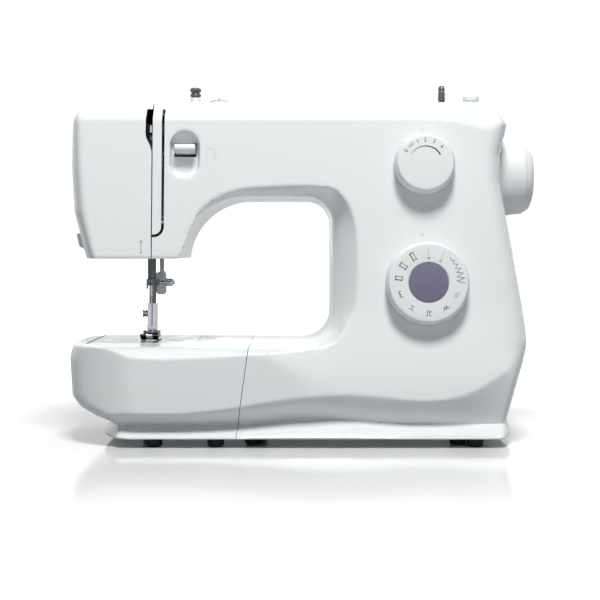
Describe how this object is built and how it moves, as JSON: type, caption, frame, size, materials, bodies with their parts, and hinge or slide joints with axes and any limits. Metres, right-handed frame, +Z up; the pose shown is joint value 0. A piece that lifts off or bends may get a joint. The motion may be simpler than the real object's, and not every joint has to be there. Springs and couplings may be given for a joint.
{
  "type": "sewing machine",
  "caption": "Domestic free-arm sewing machine with a removable extension table, front dials, a reverse lever and a hand wheel.",
  "frame": {"origin": "centre of the footprint, on the table under the rubber feet", "axes": "+X from the sewing head to the hand wheel, +Z up, the front with the dials faces -Y"},
  "size_m": [0.388, 0.174, 0.2945],
  "materials": {
    "cover_white": "glossy",
    "dial_white": "satin",
    "hub_grey": "satin",
    "lifter_grey": "satin",
    "cam_plastic": "satin",
    "black_plastic": "satin",
    "polished_steel": "polished",
    "brushed_steel": "brushed",
    "dark_steel": "satin",
    "cast_frame": "painted",
    "bronze": "sintered",
    "rubber": "matte",
    "motor_paint": "satin",
    "bobbin_clear": "glossy",
    "lamp_lens": "frosted"
  },
  "bodies": {
    "machine": {"front_cover": "cover_white", "rear_cover": "cover_white", "face_cover": "cover_white", "base_pan": "cover_white", "free_arm_cover": "cover_white", "needle_plate": "polished_steel", "screws": "brushed_steel", "rubber_feet": "rubber", "chassis": "cast_frame", "main_bushes": "bronze", "control_plate": "brushed_steel", "motor": "motor_paint", "motor_belt": "rubber", "timing_belt": "rubber", "presser_spring": "brushed_steel", "shuttle_race": "brushed_steel", "tension_discs": "brushed_steel", "winder_parts": "black_plastic", "thread_cutter": "cover_white", "lamp": "lamp_lens", "side_panel": "black_plastic", "rear_fittings": "cover_white"},
    "main_shaft": {"main_shaft": "brushed_steel", "crank_disc": "brushed_steel", "shaft_pulleys": "black_plastic", "hand_wheel": "cover_white"},
    "lower_shaft": {"lower_shaft": "brushed_steel"},
    "motor_rotor": {"motor_pulley": "brushed_steel"},
    "needle_frame": {"needle_frame": "brushed_steel"},
    "needle_bar": {"needle_bar": "polished_steel", "needle_clamp": "dark_steel", "needle": "polished_steel"},
    "clamp_screw": {"clamp_screw": "polished_steel"},
    "needle_link": {"needle_link": "brushed_steel"},
    "take_up_lever": {"take_up_lever": "polished_steel"},
    "presser_bar": {"presser_bar": "polished_steel", "foot_holder": "polished_steel"},
    "foot_screw": {"foot_screw": "polished_steel"},
    "presser_foot": {"presser_foot": "dark_steel"},
    "presser_lifter": {"presser_lifter": "lifter_grey"},
    "feed_bar": {"feed_bar": "brushed_steel"},
    "feed_dog": {"feed_dog": "brushed_steel"},
    "shuttle_hook": {"shuttle_hook": "polished_steel"},
    "bobbin_case": {"bobbin_case": "brushed_steel"},
    "bobbin": {"bobbin": "bobbin_clear"},
    "shuttle_door": {"shuttle_door": "cover_white"},
    "extension_table": {"extension_table": "cover_white", "table_feet": "rubber"},
    "pattern_dial": {"pattern_dial": "dial_white", "dial_hub": "hub_grey", "pattern_cam": "cam_plastic"},
    "length_dial": {"length_dial": "dial_white", "length_cam": "cam_plastic"},
    "tension_dial": {"tension_dial": "dial_white"},
    "reverse_lever": {"reverse_lever": "dial_white"},
    "winder_slide": {"winder_slide": "black_plastic"},
    "winder_spindle": {"winder_spindle": "polished_steel"},
    "carry_handle": {"carry_handle": "cover_white"},
    "power_switch": {"power_switch": "black_plastic"},
    "spool_cap": {"spool_cap": "dial_white"}
  },
  "joints": [
    {"name": "main_shaft_spin", "type": "hinge", "parent": "machine", "child": "main_shaft", "pos_m": [0.194, 0.008, 0.217], "axis": [1, 0, 0], "continuous": true},
    {"name": "lower_shaft_spin", "type": "hinge", "parent": "machine", "child": "lower_shaft", "pos_m": [0, 0.042, 0.046], "axis": [1, 0, 0], "continuous": true},
    {"name": "motor_spin", "type": "hinge", "parent": "machine", "child": "motor_rotor", "pos_m": [0.134, 0.04, 0.11], "axis": [1, 0, 0], "continuous": true},
    {"name": "zigzag_swing", "type": "hinge", "parent": "machine", "child": "needle_frame", "pos_m": [-0.1286, 0.003, 0.257], "axis": [0, 1, 0], "range_deg": [-0.85, 0.85]},
    {"name": "needle_bar_slide", "type": "slide", "parent": "needle_frame", "child": "needle_bar", "axis": [0, 0, 1], "range_m": [-0.022, 0.008]},
    {"name": "clamp_screw_turn", "type": "hinge", "parent": "needle_bar", "child": "clamp_screw", "pos_m": [-0.1286, 0.012, 0.128], "axis": [1, 0, 0], "range_deg": [-180, 180]},
    {"name": "needle_link_pivot", "type": "hinge", "parent": "needle_bar", "child": "needle_link", "pos_m": [-0.1186, 0.012, 0.1815], "axis": [1, 0, 0], "range_deg": [-6, 6]},
    {"name": "take_up_swing", "type": "hinge", "parent": "machine", "child": "take_up_lever", "pos_m": [-0.1222, 0.034, 0.236], "axis": [1, 0, 0], "range_deg": [-4, 14]},
    {"name": "presser_bar_lift", "type": "slide", "parent": "machine", "child": "presser_bar", "axis": [0, 0, 1], "range_m": [0, 0.007], "stiffness_N_per_m": 400, "springref_m": -0.01, "deforming": ["presser_spring"]},
    {"name": "foot_screw_turn", "type": "hinge", "parent": "presser_bar", "child": "foot_screw", "pos_m": [-0.1336, 0.022, 0.101], "axis": [1, 0, 0], "range_deg": [-180, 180]},
    {"name": "presser_foot_tilt", "type": "hinge", "parent": "presser_bar", "child": "presser_foot", "pos_m": [-0.1286, 0.0166, 0.085], "axis": [1, 0, 0], "range_deg": [-6, 3]},
    {"name": "presser_lifter_swing", "type": "hinge", "parent": "machine", "child": "presser_lifter", "pos_m": [-0.1216, 0.031, 0.15], "axis": [0, -1, 0], "range_deg": [0, 60]},
    {"name": "feed_travel", "type": "slide", "parent": "machine", "child": "feed_bar", "axis": [0, 1, 0], "range_m": [-0.002, 0.002]},
    {"name": "feed_lift", "type": "slide", "parent": "feed_bar", "child": "feed_dog", "axis": [0, 0, 1], "range_m": [-0.0025, 0]},
    {"name": "shuttle_swing", "type": "hinge", "parent": "machine", "child": "shuttle_hook", "pos_m": [-0.1286, 0.012, 0.0475], "axis": [0, 1, 0], "range_deg": [-105, 105]},
    {"name": "bobbin_case_pull", "type": "slide", "parent": "machine", "child": "bobbin_case", "axis": [0, -1, 0], "range_m": [0, 0.02]},
    {"name": "bobbin_spin", "type": "hinge", "parent": "bobbin_case", "child": "bobbin", "pos_m": [-0.1286, 0, 0.0475], "axis": [0, 1, 0], "continuous": true},
    {"name": "shuttle_door_swing", "type": "hinge", "parent": "machine", "child": "shuttle_door", "pos_m": [-0.1286, -0.0324, 0.0294], "axis": [1, 0, 0], "range_deg": [0, 75]},
    {"name": "extension_table_slide", "type": "slide", "parent": "machine", "child": "extension_table", "axis": [-1, 0, 0], "range_m": [0, 0.14]},
    {"name": "pattern_dial_turn", "type": "hinge", "parent": "machine", "child": "pattern_dial", "pos_m": [0.0985, -0.06934, 0.129], "axis": [0, -0.997, 0.0775], "continuous": true},
    {"name": "length_dial_turn", "type": "hinge", "parent": "machine", "child": "length_dial", "pos_m": [0.0969, -0.06201, 0.2233], "axis": [0, -0.997, 0.0775], "range_deg": [-230, 40]},
    {"name": "tension_dial_turn", "type": "hinge", "parent": "machine", "child": "tension_dial", "pos_m": [-0.0685, -0.02, 0.261], "axis": [0, 1, 0], "range_deg": [-140, 140]},
    {"name": "reverse_lever_press", "type": "hinge", "parent": "machine", "child": "reverse_lever", "pos_m": [-0.0942, -0.041, 0.23545], "axis": [1, 0, 0], "range_deg": [0, 11], "stiffness_Nm_per_rad": 1.2, "springref_deg": -2.86},
    {"name": "winder_shift", "type": "slide", "parent": "machine", "child": "winder_slide", "axis": [1, 0, 0], "range_m": [0, 0.008]},
    {"name": "winder_spin", "type": "hinge", "parent": "winder_slide", "child": "winder_spindle", "pos_m": [0.118, 0.008, 0.27], "axis": [0, 0, 1], "continuous": true},
    {"name": "carry_handle_swing", "type": "hinge", "parent": "machine", "child": "carry_handle", "pos_m": [-0.018, 0.079, 0.253], "axis": [1, 0, 0], "range_deg": [0, 170]},
    {"name": "power_switch_rock", "type": "hinge", "parent": "machine", "child": "power_switch", "pos_m": [0.1625, 0.04, 0.078], "axis": [0, 1, 0], "range_deg": [0, 12]},
    {"name": "spool_cap_pull", "type": "slide", "parent": "machine", "child": "spool_cap", "axis": [-1, 0, 0], "range_m": [0, 0.01]}
  ],
  "couplings": [
    {"joint": "lower_shaft_spin", "follows": "main_shaft_spin", "ratio": 1},
    {"joint": "motor_spin", "follows": "main_shaft_spin", "ratio": 4}
  ]
}
